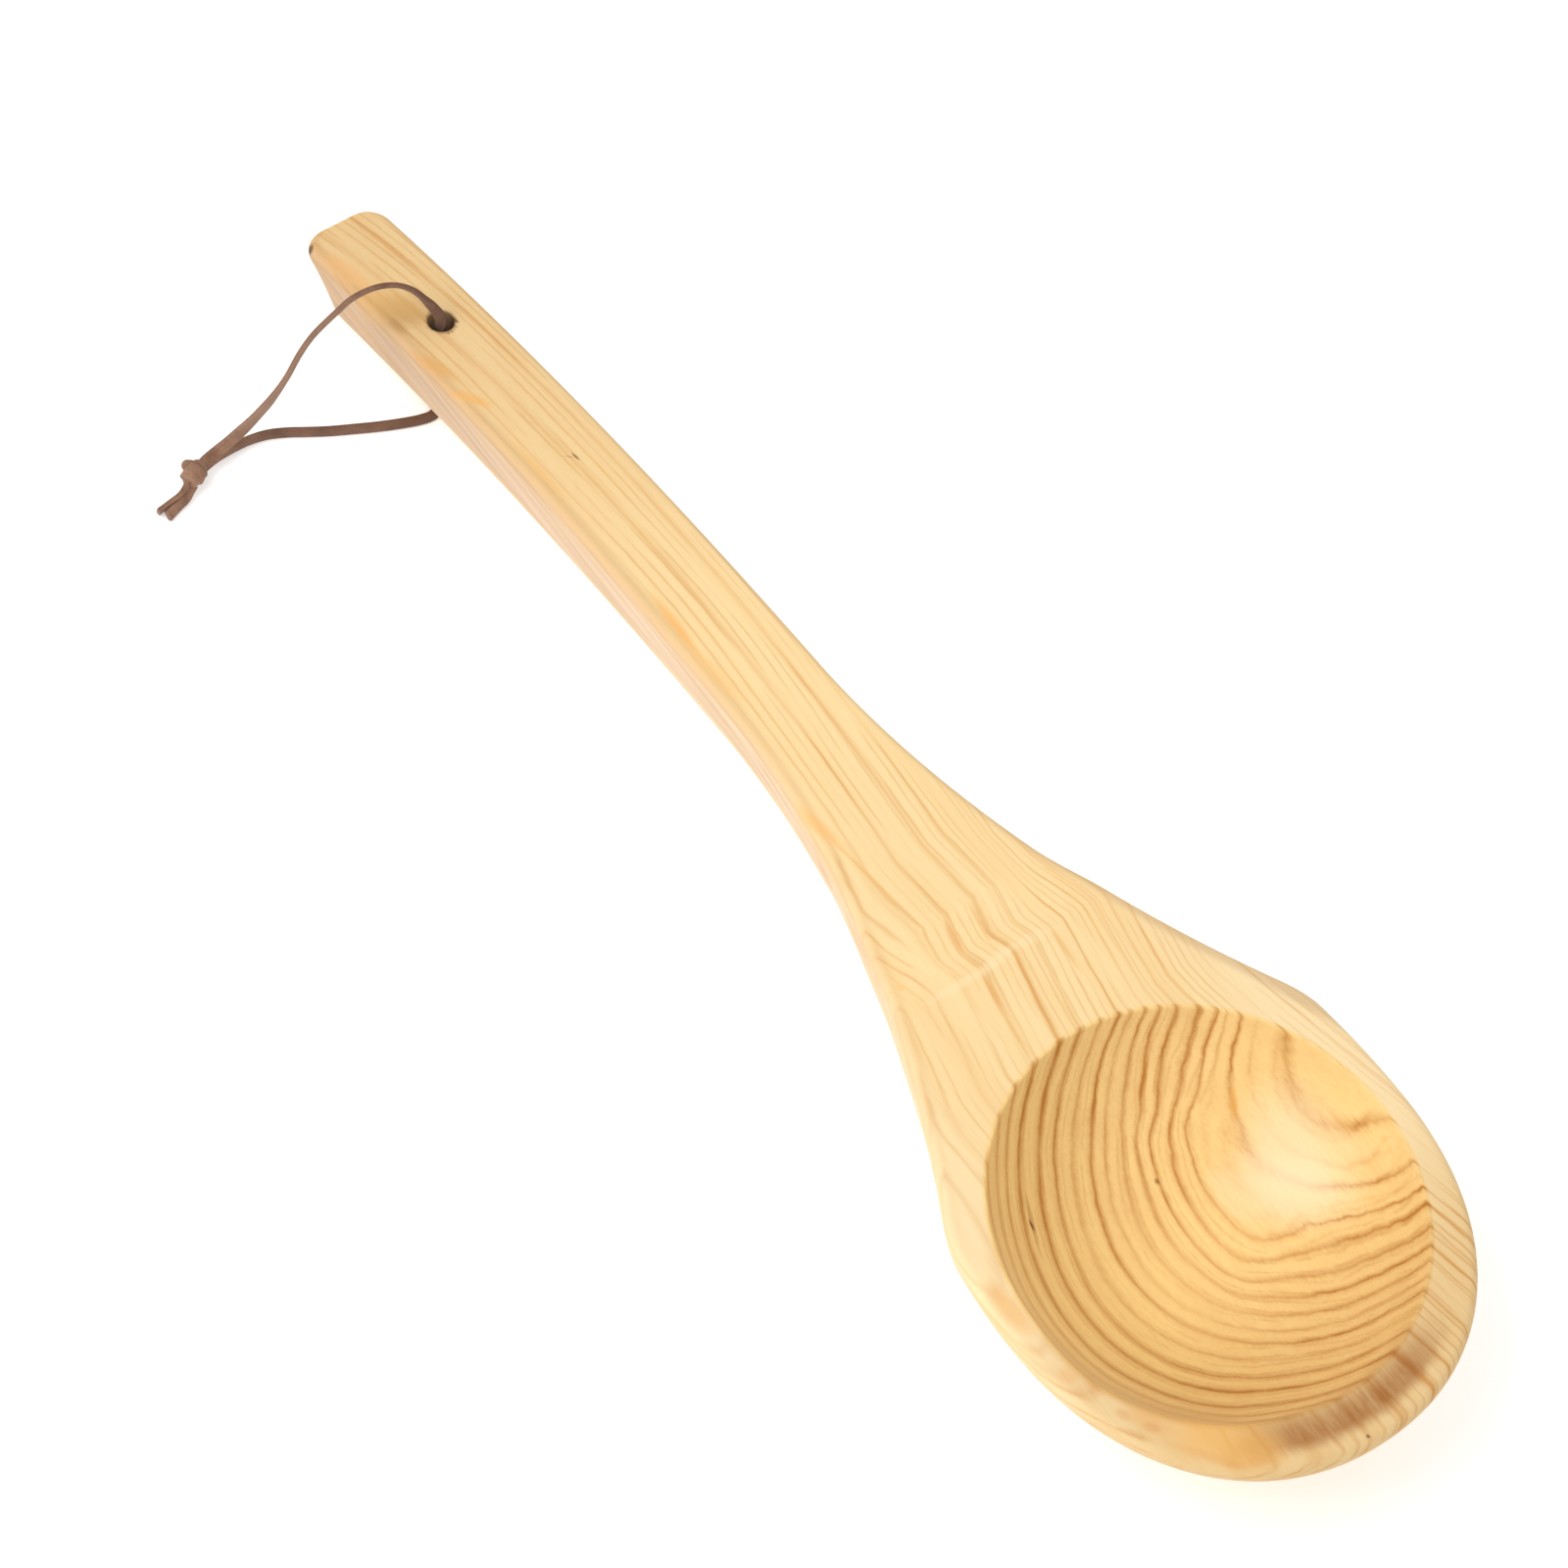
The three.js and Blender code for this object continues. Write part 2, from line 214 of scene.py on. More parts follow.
def layStrip(name, points, roll):
    route = smoothRoute([lacePlace(point) for point in points], lace["spacing"] * mm)
    look = Vector(camera["forward"])
    wideWays = []
    for i, way in enumerate(routeWays(route)):
        turn = math.radians(alongTable(roll, i / (len(route) - 1)))
        flat = way.cross(look).normalized()
        edge = flat.cross(way).normalized()
        wideWays.append(flat * math.cos(turn) + edge * math.sin(turn))
    return drawStrip(name, route, wideWays, lace["width"], lace["thickness"]), route


knot = {
    "place": (2.9, 68.6, 3.5),
    "turn": 30,  # degrees round the upright
    "length": 8.2, "width": 5.2, "height": 4.9,
    "sides": 32, "rings": 20,
    # the strip wound round the heart
    "wrapRadius": 2.2, "wrapTurns": 2.2, "wrapPitch": 2.3, "wrapWidth": 2.9, "wrapThickness": 1.4,
    "wrapStart": 2.6, "wrapSlant": 0.5, "wrapTaper": 0.035, "wrapStations": 90,
    "tuck": 0.55, "tuckSpan": 0.12,  # how far, and over what share, each end dips into the heart
    # a bight that sticks out of the knot
    "ear": (2.5, 0.5, 0.6), "earRadius": 1.45, "earSides": 20, "earRings": 12,
}


# The doubled lace drawn tight: a heart of both strands with the strip wound round it
def tieKnot():
    middle = lacePlace(knot["place"])
    lean = Matrix.Rotation(math.radians(knot["turn"]), 3, "Z")
    route = []
    for i in range(knot["wrapStations"] + 1):
        share = i / knot["wrapStations"]
        angle = share * knot["wrapTurns"] * math.tau + knot["wrapStart"]
        atEnds = smoothstep(share, knot["tuckSpan"], 0) + smoothstep(share, 1 - knot["tuckSpan"], 1)
        along = (share - 0.5) * knot["wrapTurns"] * knot["wrapPitch"]
        swell = knot["wrapRadius"] * (1 - knot["tuck"] * atEnds) * (1 - knot["wrapTaper"] * along * along)
        across = along + knot["wrapSlant"] * math.sin(angle)
        spot = Vector((swell * math.cos(angle), across, swell * math.sin(angle)))
        route.append(middle + lean @ (spot * mm))
    axis = lean @ Vector((0, 1, 0))
    wrap = drawStrip("laceKnot", route, [axis] * len(route), knot["wrapWidth"], knot["wrapThickness"])
    clearSelection()
    bpy.ops.mesh.primitive_uv_sphere_add(segments=knot["sides"], ring_count=knot["rings"], radius=0.5)
    heart = bpy.context.object
    bpy.ops.object.mode_set(mode="EDIT")
    bpy.ops.transform.resize(value=(knot["width"] * mm, knot["length"] * mm, knot["height"] * mm))
    bpy.ops.object.mode_set(mode="OBJECT")
    for vertex in heart.data.vertices:
        vertex.co = middle + lean @ vertex.co
    bpy.ops.object.shade_smooth()
    bpy.ops.object.select_all(action="DESELECT")
    bpy.ops.mesh.primitive_uv_sphere_add(
        segments=knot["earSides"], ring_count=knot["earRings"], radius=knot["earRadius"] * mm)
    ear = bpy.context.object
    for vertex in ear.data.vertices:
        vertex.co += middle + Vector(knot["ear"]) * mm
    bpy.ops.object.shade_smooth()
    heart.select_set(True)
    wrap.select_set(True)
    bpy.context.view_layer.objects.active = wrap
    bpy.ops.object.join()
    return wrap


upperRun, upperRoute = layStrip("laceUpperRun", lace["upperRun"], lace["upperRoll"])
lowerRun, lowerRoute = layStrip("laceLowerRun", lace["lowerRun"], lace["lowerRoll"])
longTail, _ = layStrip("laceLongTail", lace["longTail"], lace["longTailRoll"])
shortTail, _ = layStrip("laceShortTail", lace["shortTail"], lace["shortTailRoll"])
laceKnot = tieKnot()
lacePieces = {
    "lace_upper_run": upperRun,
    "lace_lower_run": lowerRun,
    "lace_tail_long": longTail,
    "lace_tail_short": shortTail,
    "lace_knot": laceKnot,
}
for node, strip in lacePieces.items():
    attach(strip, "lace")
    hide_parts(node)
routeLength(upperRoute)
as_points(upperRoute)
routeLength(lowerRoute)
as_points(lowerRoute)
print("lace laid: upper run", round(routeLength(upperRoute), 4), "lower run", round(routeLength(lowerRoute), 4))

# The ladle, carved from one piece: sizes in millimetres
ladle = {
    "rimHeight": 41, "rimEdge": 2.6, "handleEdge": 1.9, "innerEdge": 0.9,
    "hollowRadius": 52, "hollowDepth": 30.5,
    # the hollow's edge lies further out on one side of the front: angles in radians from the handle
    "wear": 1.4, "wearAngle": 2.2, "wearNear": 0.25, "wearFar": 0.68, "wearPower": 6,
    "sideRim": 7.6, "frontRim": 13.6, "frontFullness": 2.15,
    "flankAngle": 60, "flankLength": 27, "floorReach": 32, "footSanding": 2,
    "shoulderX": 28.5, "shoulderSkew": 3, "shoulderFall": 2.6, "shoulderRounding": 2.4,
    "flareEndX": 165, "flarePower": 1.9,
    "rampStartX": 77, "rampEndX": 96, "rampDrop": 2.1, "heelX": 12, "neckEndX": 115,
    "neckWidth": 27.2, "endWidth": 23, "thickness": 16.9, "endX": 334.4,
    "archDrop": 26.576, "archPower": 2.3,
    "neckRoundness": 0.75, "endRoundness": 0.34,
    "endCorner": 6, "endEdge": 0.8,
    # the lower end edge is cut back
    "chamferX": 316.9, "chamferRise": 13.8, "chamferRoundness": 0.5, "chamferSoftness": 0.6,
    # the lace hole: heights from the top and the underside, and how much wider the drill is there
    "holeX": 293.2, "holeRadius": 3.25, "holeTilt": 0.19774, "holeSides": 40,
    "topMouth": [(6, 1.5), (0.35, 0.3), (-0.1, 0.18), (-0.5, 0.05), (-1.1, 0)],
    "underMouth": [(1, 0), (0.4, 0.12), (-0.2, 0.5), (-6, 1.5)],
    # how finely the skin is divided; along the handle, each stretch's end and its rows
    "hollowSteps": 34, "innerEdgeSteps": 5, "rimSteps": 4, "edgeSteps": 8, "wallSteps": 30,
    "frontSteps": 110, "sideSteps": 56,
    "handleRows": [(74, 14), (100, 30), (165, 24), (315, 46), (319, 14), (330, 10), (334.4, 20)],
    "weld": 0.002, "onMiddle": 0.0001, "smoothAngle": 35,
}


def topHeight(x):
    drop = ladle["rampDrop"] * smoothstep(x, ladle["rampStartX"], ladle["rampEndX"])
    arch = max(0, (x - ladle["rampEndX"]) / (ladle["endX"] - ladle["rampEndX"])) ** ladle["archPower"]
    return ladle["rimHeight"] - drop - ladle["archDrop"] * arch


def underHeight(x):
    blend = smoothstep(x, ladle["heelX"], ladle["neckEndX"])
    return lerp(-ladle["footSanding"], topHeight(x) - ladle["thickness"], blend)


def endRounding(x, radius):
    past = clamp(x - (ladle["endX"] - radius), 0, radius)
    return radius - math.sqrt(radius * radius - past * past)


def roundedLesser(a, b, rounding):
    return min(a, b) - (max(0, rounding - abs(a - b)) / rounding) ** 2 * rounding / 4


def halfWidth(x, side):
    bowlHalf = ladle["hollowRadius"] + ladle["sideRim"]
    cornerX = ladle["shoulderX"] - ladle["shoulderSkew"] * side
    bowl = bowlHalf - ladle["shoulderFall"] * min(x / cornerX, 2) ** 2
    along = clamp((x - ladle["flareEndX"]) / (ladle["endX"] - ladle["flareEndX"]), 0, 1)
    handle = lerp(ladle["neckWidth"], ladle["endWidth"], along) / 2
    reach = bowlHalf - ladle["shoulderFall"] - ladle["neckWidth"] / 2
    flare = reach * (max(0, ladle["flareEndX"] - x) / (ladle["flareEndX"] - cornerX)) ** ladle["flarePower"]
    width = roundedLesser(bowl, handle + flare, ladle["shoulderRounding"])
    return width - endRounding(x, ladle["endCorner"]) - endRounding(x, ladle["endEdge"])


def frontRadius(angle):
    power = ladle["frontFullness"]
    nose = ladle["hollowRadius"] + ladle["frontRim"]
    bowlHalf = ladle["hollowRadius"] + ladle["sideRim"]
    return ((abs(math.cos(angle)) / nose) ** power + (abs(math.sin(angle)) / bowlHalf) ** power) ** (-1 / power)


# Outline of half a cross-section, from the top edge round the wall to the middle of the underside
def wallSection(width, top, bottom, blend, roundness):
    edge = lerp(ladle["rimEdge"], ladle["handleEdge"], blend)
    flank = math.radians(ladle["flankAngle"])
    turn = lerp(math.pi - flank, math.pi / 2, blend)
    outline = []
    for i in range(ladle["edgeSteps"] + 1):
        angle = turn * i / ladle["edgeSteps"]
        outline.append((width - edge + edge * math.sin(angle), top - edge + edge * math.cos(angle)))
    out, start = outline[-1]
    depth = start - bottom
    run = min(ladle["flankLength"], depth)
    a = (out, start)
    b = (out - run * math.cos(flank), start - run * math.sin(flank))
    c = (min(ladle["floorReach"], out), bottom)
    d = (0, bottom)
    for i in range(1, ladle["wallSteps"] + 1):
        u = i / ladle["wallSteps"]
        shares = ((1 - u) ** 3, 3 * u * (1 - u) ** 2, 3 * u * u * (1 - u), u ** 3)
        wall = [sum(s * p[k] for s, p in zip(shares, (a, b, c, d))) for k in (0, 1)]
        bow = u * math.pi / 2
        belly = (out * math.cos(bow) ** roundness, start - depth * math.sin(bow) ** roundness)
        if i == ladle["wallSteps"]:
            belly = (0, bottom)
        outline.append((lerp(wall[0], belly[0], blend), max(0, lerp(wall[1], belly[1], blend))))
    return outline


# The hollow is part of a ball: its radius, and the height of its middle
def hollowBall():
    radius, depth = ladle["hollowRadius"], ladle["hollowDepth"]
    ball = (radius * radius + depth * depth) / (2 * depth)
    return ball, ladle["rimHeight"] - depth + ball


# Out from the hollow's middle to its rim, as distances from the middle and heights
def hollowSection():
    edge = ladle["innerEdge"]
    ball, ballHeight = hollowBall()
    slope = math.asin(ladle["hollowRadius"] / ball)
    edgeDrop = edge * (1 - math.cos(slope))
    last = math.acos((ballHeight - ladle["rimHeight"] + edgeDrop) / ball)
    outline = []
    for i in range(ladle["hollowSteps"] + 1):
        angle = last * i / ladle["hollowSteps"]
        outline.append((ball * math.sin(angle), ballHeight - ball * math.cos(angle)))
    centre = outline[-1][0] + edge * math.sin(slope)
    for i in range(1, ladle["innerEdgeSteps"] + 1):
        angle = slope * (1 - i / ladle["innerEdgeSteps"])
        outline.append((centre - edge * math.sin(angle), ladle["rimHeight"] - edge + edge * math.cos(angle)))
    return outline


# The skin's rows run from the hollow's middle over the rim to the middle of the underside
def skinRows():
    inner = hollowSection()
    innerRim = inner[-1][0]
    rows = []

    def addRow(outside, inside, top, outline):
        row = [inside(r) + (z,) for r, z in inner] if inside else [outside(0) + (top,)] * len(inner)
        rimFrom, rimTo = row[-1], outside(outline[0][0])
        for i in range(1, ladle["rimSteps"]):
            share = i / ladle["rimSteps"]
            row.append((lerp(rimFrom[0], rimTo[0], share), lerp(rimFrom[1], rimTo[1], share), top))
        rows.append(row + [outside(out) + (z,) for out, z in outline])

    # beside the hollow at an angle, or along the handle where there is no hollow
    def sideRow(x, side, angle=None):
        top = topHeight(x) - endRounding(x, ladle["endEdge"])
        past = x - ladle["chamferX"]
        heel = min((past + math.hypot(past, ladle["chamferSoftness"])) / 2, ladle["chamferRise"])
        blend = smoothstep(x, 0, ladle["neckEndX"])
        along = clamp((x - ladle["neckEndX"]) / (ladle["endX"] - ladle["neckEndX"]), 0, 1)
        roundness = lerp(ladle["neckRoundness"], ladle["endRoundness"], math.sqrt(along))
        roundness = lerp(roundness, ladle["chamferRoundness"], heel / ladle["chamferRise"])
        outline = wallSection(halfWidth(x, side), top, underHeight(x) + heel, blend, roundness)

        def outside(out):
            return x, side * out

        def inside(r):
            return r * math.cos(angle), side * r * math.sin(angle)

        addRow(outside, None if angle is None else inside, top, outline)

    def frontRow(angle):
        fromWorn = abs(angle - ladle["wearAngle"])
        wear = ladle["wear"] * smoothstep(fromWorn, ladle["wearFar"], ladle["wearNear"])

        def outside(out):
            return out * math.cos(angle), out * math.sin(angle)

        def inside(r):
            return outside(r + wear * (r / innerRim) ** ladle["wearPower"])

        outline = wallSection(frontRadius(angle), ladle["rimHeight"], -ladle["footSanding"], 0, 1)
        addRow(outside, inside, ladle["rimHeight"], outline)

    handleX, start = [], innerRim
    for end, steps in ladle["handleRows"]:
        handleX += [lerp(start, end, (i + 1) / steps) for i in range(steps)]
        start = end
    sideAngles = [math.pi / 2 * i / ladle["sideSteps"] for i in range(ladle["sideSteps"])]
    for x in reversed(handleX):
        sideRow(x, 1)
    for angle in sideAngles:
        sideRow(innerRim * math.cos(angle), 1, angle)
    for i in range(ladle["frontSteps"] + 1):
        frontRow(math.pi / 2 + math.pi * i / ladle["frontSteps"])
    for angle in reversed(sideAngles):
        sideRow(innerRim * math.cos(angle), -1, angle)
    for x in handleX:
        sideRow(x, -1)
    rows.append(rows[0])
    return rows


# A flat grid is laid onto the rows and closed
def carveLadle():
    rows = skinRows()
    clearSelection()
    across, along = len(rows[0]) - 1, len(rows) - 1
    bpy.ops.mesh.primitive_grid_add(x_subdivisions=along, y_subdivisions=across, size=2)
    wood = bpy.context.object
    wood.name = "ladleBody"
    for vertex in wood.data.vertices:
        i = round((vertex.co.x + 1) / 2 * along)
        j = round((vertex.co.y + 1) / 2 * across)
        vertex.co = Vector(rows[i][j]) * mm
    bpy.ops.object.mode_set(mode="EDIT")
    bpy.ops.mesh.select_all(action="SELECT")
    bpy.ops.mesh.remove_doubles(threshold=ladle["weld"] * mm)
    bpy.ops.mesh.dissolve_degenerate(threshold=ladle["weld"] * mm)
    # where the hollow's last row meets the handle's first, both halves leave a sheet on the middle
    bpy.ops.mesh.select_all(action="DESELECT")
    shell = bmesh.from_edit_mesh(wood.data)
    for face in shell.faces:
        if all(abs(vertex.co.y) < ladle["onMiddle"] * mm for vertex in face.verts):
            face.select_set(True)
    bmesh.update_edit_mesh(wood.data)
    bpy.ops.mesh.delete(type="FACE")
    bpy.ops.mesh.select_all(action="SELECT")
    bpy.ops.mesh.delete_loose()
    bpy.ops.mesh.select_all(action="SELECT")
    bpy.ops.mesh.normals_make_consistent(inside=False)
    bpy.ops.mesh.select_mode(type="VERT")
    bpy.ops.mesh.select_all(action="DESELECT")
    bpy.ops.mesh.select_non_manifold()
    print("open edges:", sum(edge.select for edge in bmesh.from_edit_mesh(wood.data).edges))
    bpy.ops.object.mode_set(mode="OBJECT")
    return wood


# The lace hole's drill is a little wider at both mouths, so that their edges come out rounded
def drillHole(wood):
    top = topHeight(ladle["holeX"])
    radius = ladle["holeRadius"]
    stations = ladle["topMouth"] + [(high - ladle["thickness"], wide) for high, wide in ladle["underMouth"]]
    clearSelection()
    bpy.ops.mesh.primitive_circle_add(
        vertices=ladle["holeSides"], radius=(radius + stations[0][1]) * mm, fill_type="NGON")
    drill = bpy.context.object
    bpy.ops.object.mode_set(mode="EDIT")
    bpy.ops.mesh.select_all(action="SELECT")
    bpy.ops.transform.translate(value=(0, 0, stations[0][0] * mm))
    for (high, wide), (low, narrow) in zip(stations, stations[1:]):
        bpy.ops.mesh.extrude_region_move(TRANSFORM_OT_translate={"value": (0, 0, (low - high) * mm)})
        scale = (radius + narrow) / (radius + wide)
        bpy.ops.transform.resize(value=(scale, scale, 1), center_override=(0, 0, low * mm))
    bpy.ops.mesh.select_all(action="SELECT")
    bpy.ops.mesh.normals_make_consistent(inside=False)
    bpy.ops.object.mode_set(mode="OBJECT")
    tilt = Matrix.Rotation(ladle["holeTilt"], 4, "Y")
    drill.data.transform(Matrix.Translation(Vector((ladle["holeX"], 0, top)) * mm) @ tilt)
    clearSelection()
    wood.select_set(True)
    bpy.context.view_layer.objects.active = wood
    cut = wood.modifiers.new("laceHole", "BOOLEAN")
    cut.operation, cut.object, cut.solver = "DIFFERENCE", drill, "EXACT"
    bpy.ops.object.modifier_apply(modifier=cut.name)
    bpy.data.objects.remove(drill)
    bpy.ops.object.shade_smooth_by_angle(angle=math.radians(ladle["smoothAngle"]))


ladleBody = carveLadle()
drillHole(ladleBody)
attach(ladleBody, "ladle")
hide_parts("ladle_body")
print("ladle carved:", len(ladleBody.data.polygons), "faces")


# A wire is a socket that takes part in plain arithmetic
class Wire:
    def __init__(self, socket):
        self.socket = socket

    def node(self, kind, settings=None, values=None, output=0):
        tree = self.socket.id_data
        made = tree.nodes.new("ShaderNode" + kind)
        for name, setting in (settings or {}).items():
            if name == "stops":
                ramp = made.color_ramp.elements
                while len(ramp) > 1:
                    ramp.remove(ramp[-1])
                for i, (place, level) in enumerate(setting):
                    stop = ramp[0] if i == 0 else ramp.new(place)
                    stop.position = place
                    stop.color = (level, level, level, 1)
            elif name in ("bends", "kinks"):
                line = made.mapping.curves[0].points
                for place, level in setting[1:-1]:
                    line.new(place, level)
                line[0].location, line[-1].location = setting[0], setting[-1]
                for point in line:
                    point.handle_type = "AUTO_CLAMPED" if name == "bends" else "VECTOR"
                made.mapping.update()
            else:
                setattr(made, name, setting)
        for name, value in (values or {}).items():
            if isinstance(value, Wire):
                tree.links.new(value.socket, made.inputs[name])
            else:
                made.inputs[name].default_value = value
        return Wire(made.outputs[output])

    def maths(self, operation, *values):
        return self.node("Math", {"operation": operation}, dict(enumerate(values)))

    def __add__(self, other):
        return self.maths("ADD", self, other)

    def __radd__(self, other):
        return self.maths("ADD", other, self)

    def __sub__(self, other):
        return self.maths("SUBTRACT", self, other)

    def __rsub__(self, other):
        return self.maths("SUBTRACT", other, self)

    def __mul__(self, other):
        return self.maths("MULTIPLY", self, other)

    def __rmul__(self, other):
        return self.maths("MULTIPLY", other, self)

    def __truediv__(self, other):
        return self.maths("DIVIDE", self, other)

    def __rtruediv__(self, other):
        return self.maths("DIVIDE", other, self)

    def __pow__(self, other):
        return self.maths("POWER", self, other)

    def __rpow__(self, other):
        return self.maths("POWER", other, self)

    def __abs__(self):
        return self.maths("ABSOLUTE", self)

    def floor(self):
        return self.maths("FLOOR", self)

    def root(self):
        return self.maths("SQRT", self)

    # 0 before start and 1 after end
    def step(self, start, end):
        return self.node(
            "MapRange", {"interpolation_type": "SMOOTHSTEP"},
            {"Value": self, "From Min": start, "From Max": end},
        )

    # rises from 0 to 1 over the first two places and falls back over the last two
    def band(self, start, full, fade, end):
        return self.step(start, full) * (1 - self.step(fade, end))

    def vector(self, operation, other):
        return self.node("VectorMath", {"operation": operation}, {0: self, 1: other})

    # share of this vector in one direction
    def dot(self, way):
        return self.node("VectorMath", {"operation": "DOT_PRODUCT"}, {0: self, 1: way}, "Value")

    def noise(self, scale, detail):
        return self.node("TexNoise", {}, {"Vector": self, "Scale": scale, "Detail": detail}, "Fac")

    # a grey level for each place from 0 to 1
    def ramp(self, stops):
        return self.node("ValToRGB", {"stops": stops}, {0: self})

    # reads a table of (place, level) at this value
    def table(self, table, way="bends"):
        low, high = table[0][0], table[-1][0]
        levels = [level for _, level in table]
        least, span = min(levels), max(levels) - min(levels)
        points = [((place - low) / (high - low), (level - least) / span) for place, level in table]
        read = self.node("FloatCurve", {way: points}, {"Value": (self - low) / (high - low)})
        return read * span + least

    def mix(self, a, b, blend="MIX"):
        return self.node("Mix", {"data_type": "RGBA", "blend_type": blend}, {0: self, 6: a, 7: b}, 2)

    def link(self, socket):
        self.socket.id_data.links.new(self.socket, socket)


# A screen colour, from 0 to 255, as the shader takes it
def shade(red, green, blue):
    tones = []
    for tone in (red, green, blue):
        tone /= 255
        tones.append(tone / 12.92 if tone <= 0.04045 else ((tone + 0.055) / 1.055) ** 2.4)
    return (*tones, 1)


def newFinish(name, constants):
    finish = bpy.data.materials.new(name)
    finish.use_nodes = True
    surface = finish.node_tree.nodes["Principled BSDF"]
    for socket, value in constants.items():
        surface.inputs[socket].default_value = value
    return finish, surface, Wire(surface.outputs[0])


# The place on a piece, in millimetres
def placeOn(start):
    place = start.node("TexCoord", output="Object")
    return place.node("VectorMath", {"operation": "SCALE"}, {0: place, "Scale": 1 / mm})


